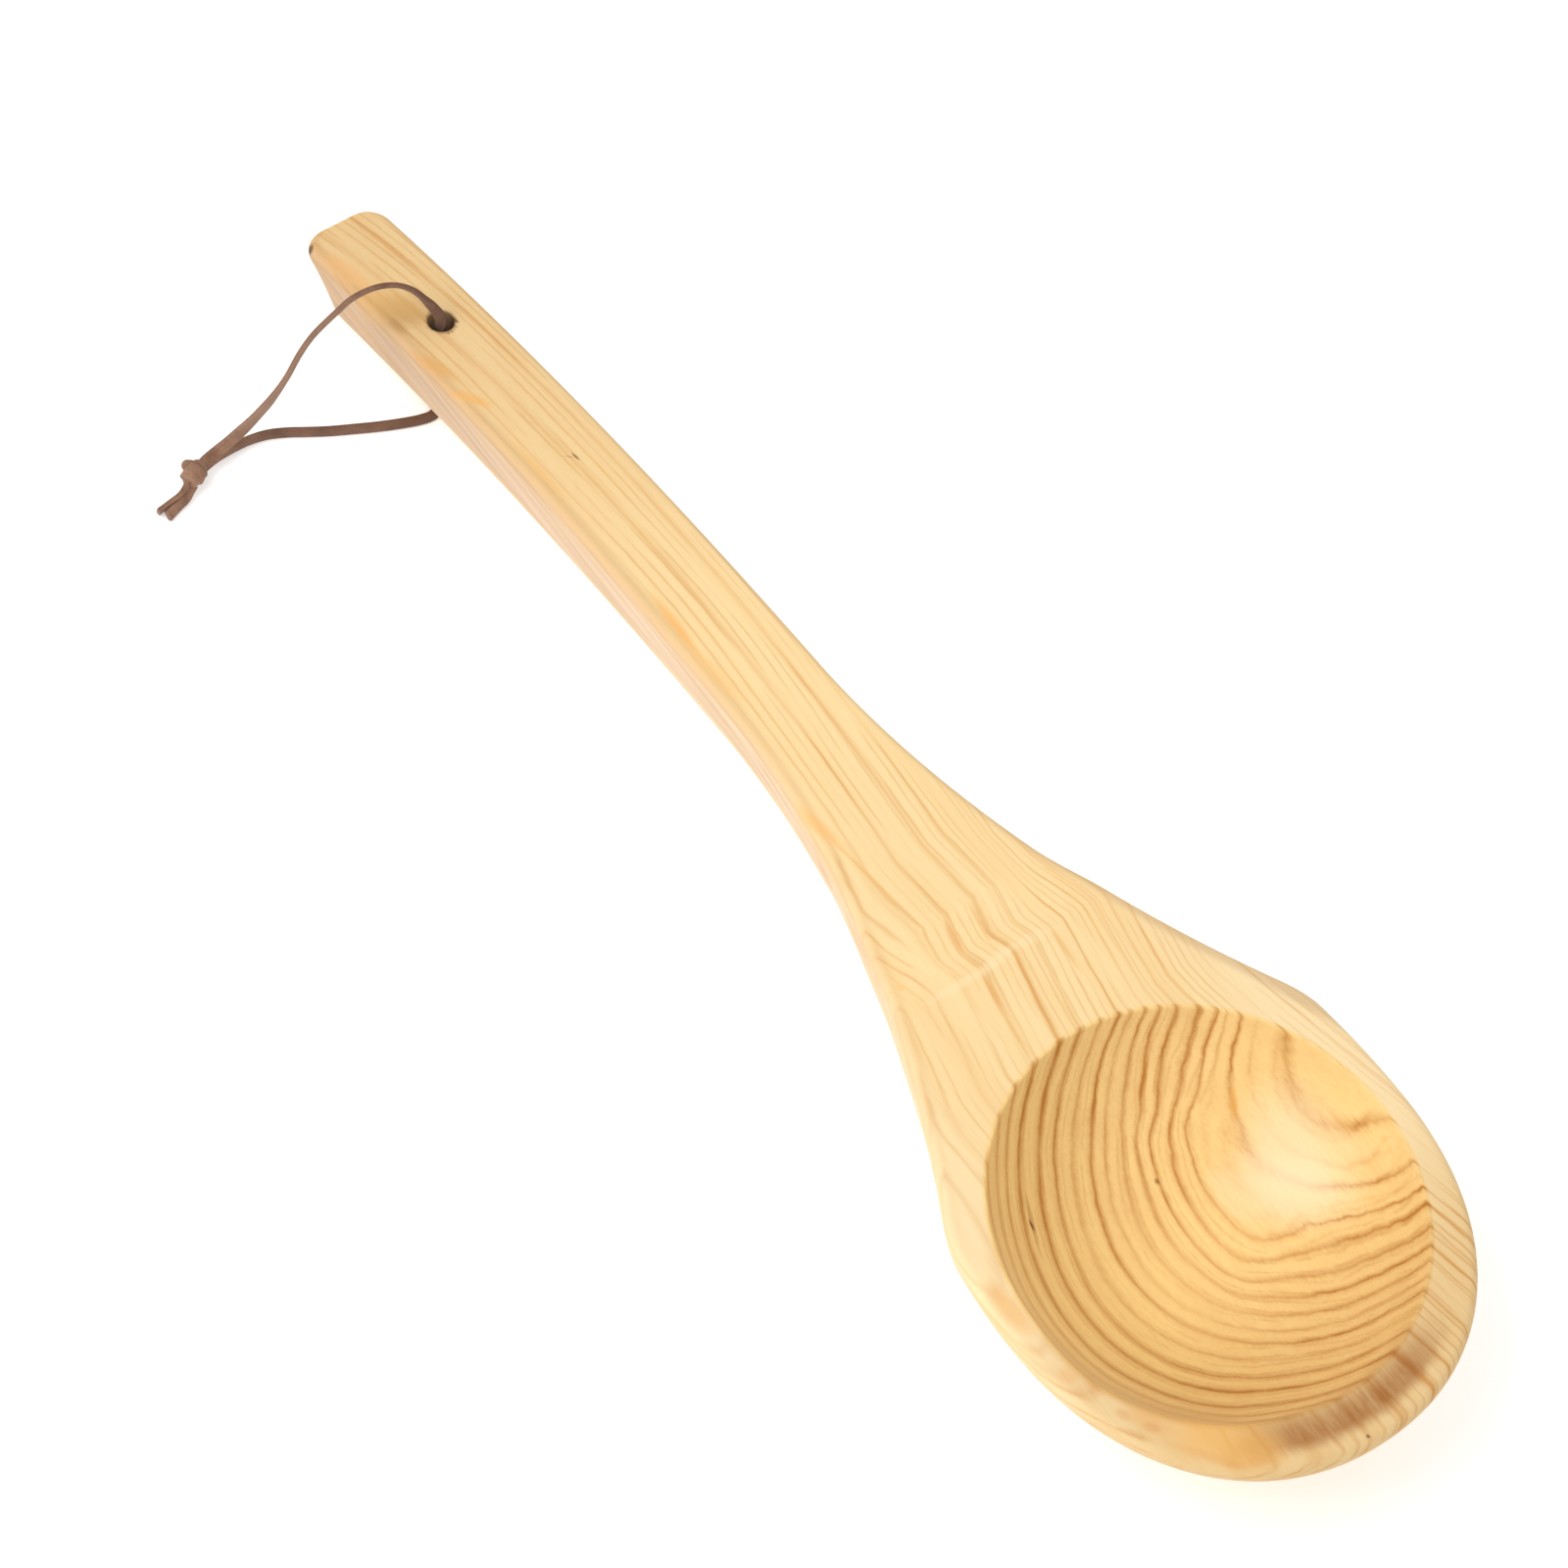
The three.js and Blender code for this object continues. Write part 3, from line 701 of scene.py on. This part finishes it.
pine = {
    "surface": {
        "Roughness": 0.6, "Specular IOR Level": 0.12, "Sheen Weight": 0.12, "Sheen Roughness": 0.35,
    },
    "bump": {"Strength": 0.16, "Distance": 0.0002},
    "colours": {
        "pale": (246, 216, 161), "line": (218, 164, 98), "streak": (232, 186, 120),
        "hollowPale": (250, 213, 144), "hollowLine": (190, 126, 50),
        "side": (206, 176, 146), "paleSide": (226, 200, 174),
        "rim": (247, 223, 179), "arrisHighlight": (244, 212, 172), "edge": (240, 190, 112), "farEdgeShade": (184, 148, 110),
        "lip": (164, 106, 54), "innerEdgeShade": (210, 156, 88), "boreShade": (92, 62, 38), "mouth": (124, 84, 50),
        # laid over the rest
        "nearWallShade": (255, 253, 242), "frontShade": (224, 214, 202), "nearShade": (238, 231, 227),
        "handleShade": (226, 218, 213), "sideShade": (236, 236, 240),
    },
    # the pith lies beside and above the bowl, in millimetres
    "pithY": 50.5, "pithZ": 91.2, "pithFall": -0.084,
    # sideways sway of the grain along the ladle, down its middle and down its flanks
    "sway": [
        (-70, -17.3), (45, 11.1), (52, 11.8), (64, 10.1), (76.6, 7.7), (82.6, 9.4), (93, 5.7), (110, 8.2),
        (165, 6.7), (250, 4.2), (335, 1.7),
    ],
    "flankSway": [
        (-70, -17.3), (45, 11.1), (52, 11.8), (64, 10.1), (76.6, 8.2), (88, 11), (104, 14), (125, 12),
        (165, 6.7), (250, 4.2), (335, 1.7),
    ],
    # dark rings at these distances from the pith, with their strengths
    "rings": [
        (40, 0.5), (46, 0.6), (52, 0.6), (58.3, 0.5), (63.4, 0.6), (68.7, 0.9), (75.3, 1), (80, 0.8),
        (84.5, 0.4), (88.3, 0.9), (91, 0.45), (94, 0.7), (97, 0.85), (100, 0.75), (103.5, 0.85), (106, 0.8),
        (107.4, 0.15), (109, 0.65), (110.9, 0.1), (113.2, 0.55), (115.2, 0.05), (118.8, 0.8), (121.5, 0.7),
        (124.5, 0.9), (127, 0.7), (130, 0.8), (133.5, 0.8), (137, 0.7), (141, 0.8), (145, 0.8),
    ],
    # how dark a ring and a thin line are from one side to the other
    "ringShape": [(0.12, 0), (0.35, 0.32), (0.5, 1), (0.61, 0.6), (0.82, 0)],
    "thinShape": [(0.3, 0), (0.5, 1), (0.7, 0)],
    # noises: size along the ladle, across it and upright, detail, seed
    "noises": {
        "wander": (110, 30, 30, 1, 1), "slowQuiver": (16, 4, 4, 1, 2), "quickQuiver": (6, 1.4, 1.4, 1, 8),
        "ringFade": (55, 9, 9, 1, 5), "thinWander": (90, 20, 20, 0, 6), "thinFade": (40, 6, 6, 1, 9),
        "fibre": (30, 0.45, 0.45, 3, 3), "speckle": (2.6, 0.8, 0.8, 2, 10), "streak": (160, 5, 5, 2, 4),
        "mottle": (48, 2.2, 1.4, 2, 11), "lipStreaks": (9, 1.1, 2, 2, 7), "lipBlotches": (4.5, 1.7, 2, 3, 12),
    },
    "seedStep": (17.3, 5.1, 9.7),
    # where a mask begins and is full
    "spans": {
        # along the ladle, towards the handle's end, and for the front towards the nose
        "handle": (60, 130), "behind": (5, 30), "rampWall": (8, 42), "nearBowl": (0, 60),
        "nearHandle": (105, 175), "handleSides": (30, 120), "handleShade": (150, 335),
        "sideShade": (230, 300), "front": (-5, 45),
        # across it
        "flank": (9, 22), "farWall": (28, 48), "nearWallShade": (-10, 30), "beam": (30, 48),
        # past the near or the far edge of the top
        "plainEdge": (-7, -2.5), "arrisHighlight": (-1.7, -0.5), "nearEdge": (-4.5, -1.5), "farEdgeShade": (-2.4, 0.2),
        # below the top
        "sideDrop": (0.8, 5), "arrisDrop": (0.8, 2.4), "nearDrop": (1.5, 3.4),
        # heights
        "wear": (30, 40), "lip": (36, 39),
        # out from the hollow's skin, its calm floor and its upright axis
        "hollow": (0.25, 1.1), "calm": (8, 26), "smear": (42, 48), "lipStart": (48, 57),
        "lipEnd": (58.5, 62.2), "innerEdgeShade": (53.2, 55.4),
        "lipAlong": (0.28, 0.66),  # radians to each side
        # out from the lace hole's axis, and down it
        "boreShade": (3.35, 3.7), "boreDepth": (0.1, 1.4), "mouth": (3.2, 4.4), "mouthDepth": (0.6, 1.6),
        # of a noise, of a slope, and of a stroke's half size
        "thinFade": (0.3, 0.6), "mottle": (0.3, 0.7), "arrisBreaks": (0.3, 0.55), "steep": (0.3, 0.95),
        "stroke": (0.25, 1.1),
    },
    # where a mask begins, is full, fades and ends; the last two in radians from the nose
    "bands": {
        "bulgeX": (-20, -6, 24, 34), "bulgeY": (-31, -20, -14, -3), "plain": (110, 150, 270, 300),
        "smear": (0.38, 0.68, 1.48, 1.88), "innerEdgeShade": (0.28, 0.58, 1.18, 1.68),
    },
    # how far or how strongly each works
    "amounts": {
        "wander": 2, "slowQuiver": 0.8, "handleCalm": 0.5, "quickQuiver": 0.3, "bulge": 2.3, "wear": 1.22,
        "ringFade": 0.9, "ringLeast": 0.5, "thinSpacing": 1.9, "thinWander": 2,
        "plain": 0.6, "fibre": 0.42, "edgeLines": 0.7,
        "hollowRings": 0.95, "calm": 0.4, "rampWall": 0.22, "farWall": 0.3, "hollowThin": 0.26,
        "hollowFibre": 0.3, "speckle": 0.34, "smear": 0.65, "smearLevel": 0.36, "nearWallShade": 0.8,
        "streak": 0.9, "handleStreak": 0.3, "streakLeast": 0.1, "beam": 0.6,
        "front": 0.55, "hollowFront": 0.3, "side": 0.5, "lowSideBounce": 0.42, "bowlSide": 0.4,
        "arrisHighlight": 0.4, "nearBowl": 0.55, "nearHandle": 0.45, "farEdgeShade": 0.4, "handleShade": 0.75,
        "sideShade": 0.5, "lipStreaks": 0.5, "lipBearing": 0.05, "lipRaggedEnds": 0.3, "lipRaggedEdge": 4,
        "lipRagged": 1.1, "lipLeast": 0.2, "lipRings": 0.15, "innerEdgeShade": 0.75, "strokeFibre": 0.5,
        "boreShade": 0.45, "mouth": 0.7, "mouthRagged": 2.4,
    },
    # strength of the lines everywhere, and what the front and the handle add to it
    "ringLines": (0.84, 0.5, -0.28),
    "thinLines": (0.46, 0.25, 0.1),
    "calmFloor": (-8, -4),
    # where along the ladle its half width and its top are read
    "widthStations": (20, 40, 60, 80, 100, 120, 140, 165, 250, 320, 330, 334),
    "topStations": (20, 76, 83, 90, 97, 130, 170, 210, 250, 290, 334),
    # single strokes: middle, turn in degrees, half length, half width, colour, strength
    "strokes": [
        # ramp and neck
        ((86.8, 6.6, 39.9), -17, 6.2, 1.3, (226, 160, 90), 0.5),
        ((79.1, 7.3, 40.8), 13, 3.8, 0.7, (230, 176, 110), 0.45),
        ((86.8, -1.1, 39.9), -15, 7.7, 0.7, (228, 170, 96), 0.5),
        ((70.2, 8.3, 41), -12, 6.8, 1.1, (224, 160, 86), 0.55),
        ((60.3, 10.3, 41), -9, 7.8, 0.6, (228, 174, 104), 0.45),
        ((70.5, -13.8, 41), -7, 7.8, 0.8, (230, 175, 102), 0.5),
        ((126.8, 15.1, 38.6), 7, 10, 2.2, (242, 180, 104), 0.55),
        ((110.6, 13.2, 38.8), 7, 13.9, 0.7, (232, 178, 104), 0.55),
        # a pale line across the foot of the ramp: painted highlight on the crease there
        ((76.2, 14.5, 41), 89, 11, 1.6, (252, 230, 186), 0.32),
        ((76.6, 2.6, 41), -82, 7.5, 1.9, (252, 230, 186), 0.36),
        ((76.7, -8, 41), 84, 10, 1.8, (252, 230, 186), 0.22),
        # a small orange dot
        ((83, 25.9, 40.5), -2, 1.6, 1.1, (245, 188, 96), 0.4),
        # the handle's end, round the hole and along the near edge
        ((331, 10.6, 12.9), -40, 1.9, 0.8, (84, 52, 36), 0.85),
        ((318.6, 8.4, 16.2), 4, 13, 3.4, (230, 176, 116), 0.6),
        ((303, 6.2, 19.6), 24, 12, 6.2, (210, 164, 100), 0.8),
        ((297.7, 9.6, 20.8), 4, 4, 1.8, (186, 138, 84), 0.5),
        ((282, 9.8, 23.9), 12, 8, 2.3, (218, 162, 92), 0.65),
        ((269.4, 9.1, 26.1), 28, 6.5, 2, (234, 174, 96), 0.65),
        ((243, 9.2, 30.3), 0, 14, 1.6, (234, 182, 110), 0.55),
        # painted shade in the far side of the lace hole's mouth
        ((292, -3.1, 22), 3, 2, 0.6, (70, 42, 24), 0.8),
        # the fleck half way along, and the orange streak below it
        ((241.5, -0.8, 30.4), 6, 1.8, 0.4, (112, 76, 44), 0.85),
        ((242.2, 0.5, 30.3), 37, 1.5, 0.3, (166, 126, 82), 0.6),
        ((189.1, 9.6, 35.8), -4, 12.4, 1.9, (242, 178, 98), 0.65),
        ((172.9, 10.1, 36.9), 2, 12.8, 2.5, (242, 190, 116), 0.45),
        # rim of the bowl
        ((-45.7, 34.2, 41), 43, 16.7, 7.5, (236, 180, 102), 0.72),
        ((-46.1, 39.7, 41), 37, 11.1, 1.6, (226, 164, 92), 0.35),
        ((-53.6, 31.1, 41), 71, 6.9, 1.6, (226, 164, 92), 0.35),
        ((-51.5, 28, 41), 62, 8, 6, (216, 158, 86), 0.5),
        ((5.5, 55.2, 41), 3, 9.5, 4, (236, 180, 108), 0.6),
        ((-32.5, 45.6, 41), 30, 7.4, 3.2, (228, 172, 106), 0.55),
        ((-28.2, 49.5, 41), 26, 2.4, 1.6, (214, 150, 96), 0.35),
        ((-34.2, 45.9, 41), 41, 2.8, 1.6, (212, 148, 94), 0.35),
        ((-14.1, 54, 41), 32, 3, 2.6, (232, 176, 114), 0.4),
        ((-62.9, 4.9, 41), 16, 0.7, 0.6, (96, 70, 56), 0.8),
        # inside the bowl: two flecks, and the pale patch with a streak beside it
        ((23.5, 28.9, 23.6), -3, 1.8, 0.7, (84, 52, 24), 0.85),
        ((23.8, 28.5, 24.1), -20, 9.1, 1, (160, 106, 48), 0.45),
        ((18.7, -8.5, 14.2), 16, 1, 0.7, (130, 88, 44), 0.7),
        ((6.3, -36, 24.3), -13, 18, 12, (251, 232, 194), 0.5),
        ((-0.9, -31.4, 21.1), 40, 20, 10.5, (251, 232, 194), 0.5),
        ((5.2, -21.1, 15.2), 5, 10, 4.5, (250, 222, 168), 0.45),
        ((-1.5, -42.6, 29.3), 28, 9, 5, (250, 222, 168), 0.4),
        ((22.2, -31.5, 24.9), -23, 4.3, 1.1, (232, 170, 84), 0.6),
    ],
    "strokeDepth": 7,  # at least, and twice a stroke's half width
}


def pineFinish():
    finish, surface, start = newFinish("pine", pine["surface"])
    spans, bands, amounts = pine["spans"], pine["bands"], pine["amounts"]
    place = placeOn(start)
    x, y, z = place.dot((1, 0, 0)), place.dot((0, 1, 0)), place.dot((0, 0, 1))
    facingZ = start.node("NewGeometry", output="Normal").dot((0, 0, 1))

    def colour(name):
        return shade(*pine["colours"][name])

    def grain(name):
        longX, acrossY, acrossZ, detail, seed = pine["noises"][name]
        laid = place.vector("MULTIPLY", (1 / longX, 1 / acrossY, 1 / acrossZ))
        return laid.vector("ADD", [seed * step for step in pine["seedStep"]]).noise(1, detail)

    # growth rings round the pith
    flank = abs(y).step(*spans["flank"])
    sway = x.table(pine["sway"], "kinks")
    sway = sway + (x.table(pine["flankSway"], "kinks") - sway) * flank
    wander = (grain("wander") - 0.5) * amounts["wander"]
    handle = x.step(*spans["handle"])
    quiver = (grain("slowQuiver") - 0.5) * (amounts["slowQuiver"] - handle * amounts["handleCalm"])
    quiver = quiver + (grain("quickQuiver") - 0.5) * amounts["quickQuiver"]
    across = y - sway - pine["pithY"] + wander
    deep = z - pine["pithZ"] - x * pine["pithFall"] + wander
    bulge = x.band(*bands["bulgeX"]) * y.band(*bands["bulgeY"]) * amounts["bulge"]
    reach = (across * across + deep * deep).root() + quiver + bulge
    # the count of rings out to here, with each dark line half way between two whole numbers
    grown = reach.table([(at, i) for i, (at, _) in enumerate(pine["rings"])]) + 0.5
    late = (grown - grown.floor()).ramp(pine["ringShape"]) * reach.table(pine["rings"])
    late = late * (grain("ringFade") * amounts["ringFade"] + amounts["ringLeast"])

    # fibres, thin lines between the rings and broad streaks along the grain
    fibre = grain("fibre")
    speckle = grain("speckle")
    streak = grain("streak")
    thin = reach / amounts["thinSpacing"] + grain("thinWander") * amounts["thinWander"]
    thin = (thin - thin.floor()).ramp(pine["thinShape"]) * grain("thinFade").step(*spans["thinFade"])

    # the hollow, also where its edge lies further out
    ballRadius, ballHeight = hollowBall()
    out = (x * x + y * y).root()
    bearing = x.maths("ARCTAN2", y, 0 - x)  # radians from the nose
    ball = (x * x + y * y + (z - ballHeight) ** 2).root() - ballRadius
    worn = 1 - abs(bearing - (math.pi - ladle["wearAngle"])).step(ladle["wearNear"], ladle["wearFar"])
    hollow = 1 - (ball - worn * z.step(*spans["wear"]) * amounts["wear"]).step(*spans["hollow"])
    solid = 1 - hollow

    # lines on the outside, strongest on the end grain of the front and faint along the near edge
    front = (0 - x).step(*spans["front"])
    reachY = x.table([(at, halfWidth(at, 1)) for at in pine["widthStations"]])
    nearEdge = y - reachY
    plain = nearEdge.step(*spans["plainEdge"]) * x.band(*bands["plain"])

    def strength(name):
        everywhere, atFront, onHandle = pine[name]
        return front * atFront + everywhere + handle * onHandle

    lines = late * late * strength("ringLines") + thin * strength("thinLines")
    lines = lines * (1 - plain * amounts["plain"]) + (fibre - 0.5) * amounts["fibre"]
    tone = lines.mix(colour("pale"), colour("line"))

    # the turned hollow shows its rings strongly, but for its floor and one side of the front
    floorX, floorY = pine["calmFloor"]
    calm = 1 - ((x - floorX) ** 2 + (y - floorY) ** 2).root().step(*spans["calm"])
    walls = x.step(*spans["rampWall"]) * amounts["rampWall"]
    walls = walls + (0 - y).step(*spans["farWall"]) * amounts["farWall"]
    hollowLines = late * (amounts["hollowRings"] - calm * amounts["calm"] + walls)
    hollowLines = hollowLines + thin * amounts["hollowThin"]
    hollowLines = hollowLines + (fibre - 0.5) * amounts["hollowFibre"] + (speckle - 0.5) * amounts["speckle"]
    smear = out.step(*spans["smear"]) * bearing.band(*bands["smear"]) * amounts["smear"]
    hollowLines = hollowLines + (amounts["smearLevel"] - hollowLines) * smear
    hollowTone = hollowLines.mix(colour("hollowPale"), colour("hollowLine"))
    # painted shade: the hollow's wall on the +Y side, turned from the light, is made a little darker and
    # yellower
    nearWallShade = y.step(*spans["nearWallShade"]) * amounts["nearWallShade"]
    tone = hollow.mix(tone, nearWallShade.mix(hollowTone, colour("nearWallShade"), "MULTIPLY"))

    # broad streaks, the pale beams of the rim and the darker front
    streaks = (streak - 0.5) * (amounts["streak"] - handle * amounts["handleStreak"]) + amounts["streakLeast"]
    tone = streaks.mix(tone, colour("streak"))
    beam = abs(y).step(*spans["beam"]) * (1 - front) * solid * amounts["beam"]
    edgeLines = lines * amounts["edgeLines"]
    tone = beam.mix(tone, edgeLines.mix(colour("rim"), colour("line")))
    frontShade = front * (hollow * amounts["hollowFront"] + amounts["front"])
    tone = frontShade.mix(tone, colour("frontShade"), "MULTIPLY")

    # paler mottled sides: the mottle is grain, the paleness is painted light bounced up from the white ground,
    # more of it lower down
    drop = x.table([(at, topHeight(at)) for at in pine["topStations"]]) - z
    side = (1 - abs(facingZ)).step(*spans["steep"]) * solid
    side = side * (drop.step(*spans["sideDrop"]) * amounts["lowSideBounce"] + amounts["side"])
    side = side * (x.step(*spans["handleSides"]) * (1 - amounts["bowlSide"]) + amounts["bowlSide"])
    mottle = grain("mottle").step(*spans["mottle"])
    sideTone = mottle.mix(colour("side"), colour("paleSide"))
    tone = side.mix(tone, edgeLines.mix(sideTone, colour("edge")))

    # a painted highlight along the arris of the near edge, a band of painted shade beside it and painted shade
    # on the darker far edge
    behind = x.step(*spans["behind"]) * solid
    arrisHighlight = nearEdge.step(*spans["arrisHighlight"]) * (1 - drop.step(*spans["arrisDrop"])) * behind
    arrisHighlight = arrisHighlight * streak.step(*spans["arrisBreaks"]) * amounts["arrisHighlight"]
    tone = arrisHighlight.mix(tone, colour("arrisHighlight"))
    nearShare = x.step(*spans["nearBowl"]) * amounts["nearBowl"]
    nearShare = nearShare + x.step(*spans["nearHandle"]) * amounts["nearHandle"]
    nearBand = nearEdge.step(*spans["nearEdge"]) * (1 - drop.step(*spans["nearDrop"])) * nearShare * solid
    tone = nearBand.mix(tone, colour("nearShade"), "MULTIPLY")
    # painted shade along the far edge, which turns away from the light
    farEdgeShade = (0 - y - reachY).step(*spans["farEdgeShade"]) * behind * amounts["farEdgeShade"]
    tone = farEdgeShade.mix(tone, colour("farEdgeShade"))
    handleShade = x.step(*spans["handleShade"]) * amounts["handleShade"]
    tone = handleShade.mix(tone, colour("handleShade"), "MULTIPLY")
    sideShade = side * x.step(*spans["sideShade"]) * amounts["sideShade"]
    tone = sideShade.mix(tone, colour("sideShade"), "MULTIPLY")

    # end grain burnished brown on the pouring lip, and painted shade on the rounded inner edge of the hollow
    # beside it
    ragged = grain("lipStreaks") * amounts["lipStreaks"] + grain("lipBlotches") * (1 - amounts["lipStreaks"])
    lipAlong = abs(bearing - amounts["lipBearing"]) + (ragged - 0.5) * amounts["lipRaggedEnds"]
    lipEnd = out + (ragged - 0.5) * amounts["lipRaggedEdge"]
    lip = (1 - lipAlong.step(*spans["lipAlong"])) * out.step(*spans["lipStart"])
    lip = lip * (1 - lipEnd.step(*spans["lipEnd"])) * z.step(*spans["lip"])
    lip = lip * (ragged * amounts["lipRagged"] + amounts["lipLeast"] + late * amounts["lipRings"])
    tone = lip.mix(tone, colour("lip"))
    innerEdgeShade = (1 - out.step(*spans["innerEdgeShade"])) * bearing.band(*bands["innerEdgeShade"])
    innerEdgeShade = innerEdgeShade * solid * z.step(*spans["lip"]) * amounts["innerEdgeShade"]
    tone = innerEdgeShade.mix(tone, colour("innerEdgeShade"))

    for middle, turn, long, wide, paint, strong in pine["strokes"]:
        off = place.vector("SUBTRACT", middle)
        c, s = math.cos(math.radians(turn)), math.sin(math.radians(turn))
        along, beside = off.dot((c / long, s / long, 0)), off.dot((-s / wide, c / wide, 0))
        below = off.dot((0, 0, 1 / max(pine["strokeDepth"], 2 * wide)))
        away = (along * along + beside * beside + below * below).root()
        away = away + (fibre - 0.5) * amounts["strokeFibre"]
        tone = ((1 - away.step(*spans["stroke"])) * strong).mix(tone, shade(*paint))

    # painted shade down the bore of the lace hole along its tilted axis, and a ragged darker ring round its
    # mouth
    axis = (math.sin(ladle["holeTilt"]), 0, math.cos(ladle["holeTilt"]))
    off = place.vector("SUBTRACT", (ladle["holeX"], 0, topHeight(ladle["holeX"])))
    sunk = 0 - off.dot(axis)
    beside = (off.dot((axis[2], 0, -axis[0])) ** 2 + off.dot((0, 1, 0)) ** 2).root()
    boreShade = (1 - beside.step(*spans["boreShade"])) * sunk.step(*spans["boreDepth"]) * amounts["boreShade"]
    tone = boreShade.mix(tone, colour("boreShade"))
    frayed = beside + (streak + fibre - 1) * amounts["mouthRagged"]
    mouth = (1 - frayed.step(*spans["mouth"])) * (1 - sunk.step(*spans["mouthDepth"])) * amounts["mouth"]
    tone = mouth.mix(tone, colour("mouth"))

    tone.link(surface.inputs["Base Color"])
    start.node("Bump", {}, {**pine["bump"], "Height": fibre}).link(surface.inputs["Normal"])
    return finish


suede = {
    "surface": {
        "Roughness": 0.92, "Specular IOR Level": 0.1, "Sheen Weight": 0.15, "Sheen Roughness": 0.6,
    },
    "bump": {"Strength": 0.6, "Distance": 0.00015},
    "dark": (94, 62, 45),
    "pale": (170, 130, 104),
    "shaded": (90, 60, 45),  # close to the handle, and along the table
    "worn": (152, 122, 104),  # along the upper bow
    # painted shade on the lace inside the hole
    "shadeInHole": (34, 22, 15),
    # noises, each with its scale per millimetre, detail and strength
    "nap": (1 / 0.35, 3, 0.9),
    "rubbed": (0.22, 2, 1.1),
    "paleness": 0.55,
    # where each begins and is full, by height and by the way out from the handle, and its strength
    "wornHeight": (4, 16), "wornOut": (14, 40), "wornShare": 0.6,
    "shadedOut": (2, 30), "shadedShare": 0.6,
    "lowHeight": (2.6, 5), "lowOut": (50, 62), "lowShare": 0.5,
    "holeHeight": (17.6, 21.8), "holeOut": (2.6, 3.4), "holeShare": 0.9,
}


def suedeFinish():
    finish, surface, start = newFinish("suede", suede["surface"])
    place = placeOn(start)
    y, z = place.dot((0, 1, 0)), place.dot((0, 0, 1))
    napScale, napDetail, napShare = suede["nap"]
    rubScale, rubDetail, rubShare = suede["rubbed"]
    nap = place.noise(napScale, napDetail)
    rubbed = place.noise(rubScale, rubDetail)
    pale = (nap - 0.5) * napShare + (rubbed - 0.5) * rubShare + suede["paleness"]
    tone = pale.mix(shade(*suede["dark"]), shade(*suede["pale"]))
    worn = z.step(*suede["wornHeight"]) * y.step(*suede["wornOut"]) * suede["wornShare"]
    tone = worn.mix(tone, shade(*suede["worn"]))
    shaded = (1 - y.step(*suede["shadedOut"])) * suede["shadedShare"]
    tone = shaded.mix(tone, shade(*suede["shaded"]))
    low = (1 - z.step(*suede["lowHeight"])) * (1 - y.step(*suede["lowOut"])) * suede["lowShare"]
    tone = low.mix(tone, shade(*suede["shaded"]))
    # painted shade where the lace runs inside the hole
    shadeInHole = (1 - z.step(*suede["holeHeight"])) * (1 - y.step(*suede["holeOut"])) * suede["holeShare"]
    tone = shadeInHole.mix(tone, shade(*suede["shadeInHole"]))
    tone.link(surface.inputs["Base Color"])
    start.node("Bump", {}, {**suede["bump"], "Height": nap}).link(surface.inputs["Normal"])
    return finish


ladleBody.data.materials.clear()
ladleBody.data.materials.append(pineFinish())
suedeLace = suedeFinish()
for strip in lacePieces.values():
    strip.data.materials.clear()
    strip.data.materials.append(suedeLace)
print("finishes made")

# Pale floor and soft light, in metres and watts
studio = {
    "floor": 6,
    "floorSurface": {
        "Base Color": (0.9, 0.9, 0.9, 1), "Roughness": 0.95, "Specular IOR Level": 0,
        "Emission Color": (1, 1, 1, 1), "Emission Strength": 0.35,
    },
    "skyColour": (1, 1, 1, 1),
    "sky": 0.75,
    "keyPlace": (0.75, 1.3, 1.7),
    "keyAim": (0.1, 0, 0),
    "keySize": 1.4,
    "keyPower": 26,
}


def setStudio():
    clearSelection()
    bpy.ops.mesh.primitive_plane_add(size=studio["floor"])
    floor = bpy.context.object
    floor.name = "floor"
    floor.data.materials.append(newFinish("paleFloor", studio["floorSurface"])[0])
    bpy.ops.object.light_add(type="AREA", location=studio["keyPlace"])
    key = bpy.context.object
    key.name = "softKey"
    key.data.size = studio["keySize"]
    key.data.energy = studio["keyPower"]
    aim = Vector(studio["keyAim"]) - Vector(studio["keyPlace"])
    key.rotation_euler = aim.to_track_quat("-Z", "Y").to_euler()
    sky = bpy.data.worlds.new("studioSky")
    sky.use_nodes = True
    glow = sky.node_tree.nodes["Background"]
    glow.inputs["Color"].default_value = studio["skyColour"]
    glow.inputs["Strength"].default_value = studio["sky"]
    bpy.context.scene.world = sky
    bpy.context.scene.view_settings.view_transform = "Standard"


setStudio()
print("studio set")
